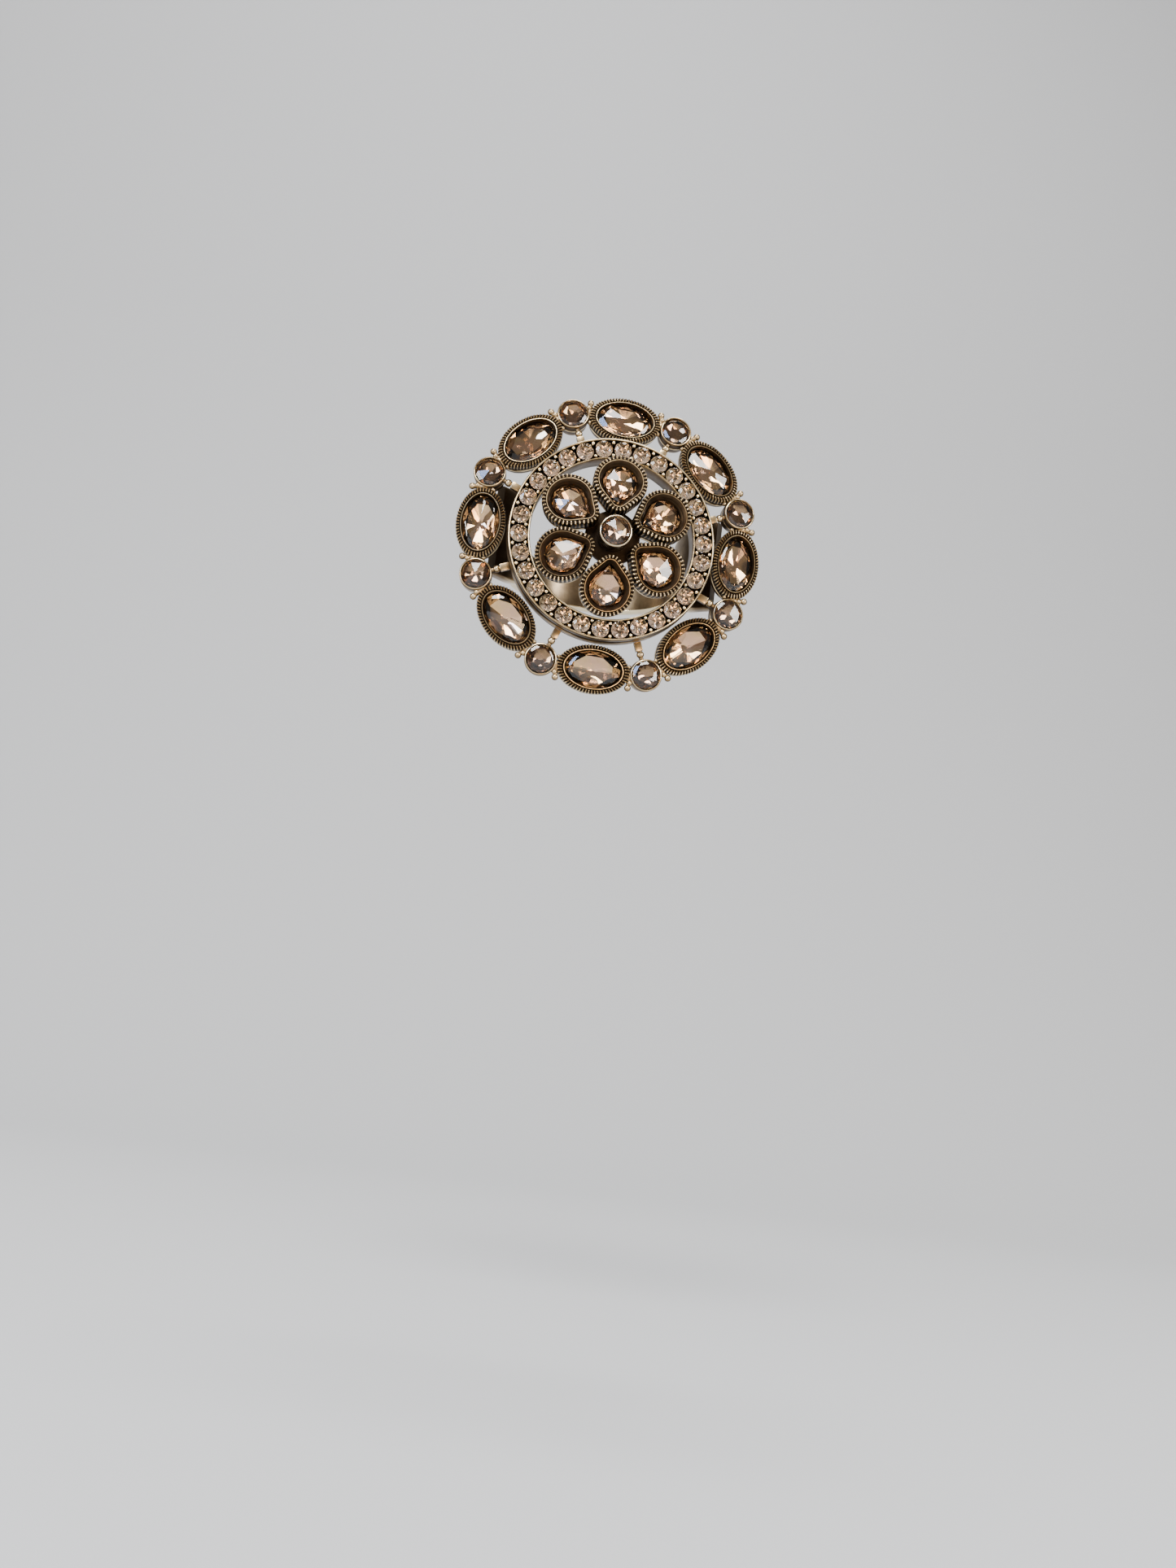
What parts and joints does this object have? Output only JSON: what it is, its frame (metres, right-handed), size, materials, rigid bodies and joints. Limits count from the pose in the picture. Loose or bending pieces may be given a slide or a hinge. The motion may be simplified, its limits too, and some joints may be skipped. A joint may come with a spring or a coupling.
{
  "type": "cocktail ring",
  "caption": "Cocktail ring: a domed openwork medallion with a wreath of oval and round stones, a pave ring and a flower of pear stones round a raised centre, on a flared strap band.",
  "frame": {"origin": "centre of the finger bore, on its axis, midway across the band", "axes": "+Z along the finger, up as worn in the picture; -Y is the way the medallion faces; +X to the right seen from the front"},
  "size_m": [0.0334, 0.026, 0.0334],
  "materials": {
    "antique_brass": "antiqued brass, dark patina in the recesses, bright on the edges",
    "polished_brass": "polished pale brass",
    "champagne_stone": "foil-backed point-cut champagne glass",
    "clear_stone": "foil-backed clear brilliant-cut glass"
  },
  "bodies": {
    "root": {"shank": "polished_brass", "outer_wreath": "antique_brass", "pave_channel_ring": "antique_brass", "flower_setting": "antique_brass", "center_bezel": "polished_brass", "center_stone": "champagne_stone", "oval_stone_1": "champagne_stone", "oval_stone_2": "champagne_stone", "oval_stone_3": "champagne_stone", "oval_stone_4": "champagne_stone", "oval_stone_5": "champagne_stone", "oval_stone_6": "champagne_stone", "oval_stone_7": "champagne_stone", "oval_stone_8": "champagne_stone", "round_stone_1": "champagne_stone", "round_stone_2": "champagne_stone", "round_stone_3": "champagne_stone", "round_stone_4": "champagne_stone", "round_stone_5": "champagne_stone", "round_stone_6": "champagne_stone", "round_stone_7": "champagne_stone", "round_stone_8": "champagne_stone", "pear_stone_1": "champagne_stone", "pear_stone_2": "champagne_stone", "pear_stone_3": "champagne_stone", "pear_stone_4": "champagne_stone", "pear_stone_5": "champagne_stone", "pear_stone_6": "champagne_stone", "pave_stone_01": "clear_stone", "pave_stone_02": "clear_stone", "pave_stone_03": "clear_stone", "pave_stone_04": "clear_stone", "pave_stone_05": "clear_stone", "pave_stone_06": "clear_stone", "pave_stone_07": "clear_stone", "pave_stone_08": "clear_stone", "pave_stone_09": "clear_stone", "pave_stone_10": "clear_stone", "pave_stone_11": "clear_stone", "pave_stone_12": "clear_stone", "pave_stone_13": "clear_stone", "pave_stone_14": "clear_stone", "pave_stone_15": "clear_stone", "pave_stone_16": "clear_stone", "pave_stone_17": "clear_stone", "pave_stone_18": "clear_stone", "pave_stone_19": "clear_stone", "pave_stone_20": "clear_stone", "pave_stone_21": "clear_stone", "pave_stone_22": "clear_stone", "pave_stone_23": "clear_stone", "pave_stone_24": "clear_stone", "pave_stone_25": "clear_stone", "pave_stone_26": "clear_stone", "pave_stone_27": "clear_stone", "pave_stone_28": "clear_stone", "pave_stone_29": "clear_stone", "pave_stone_30": "clear_stone"}
  },
  "joints": []
}
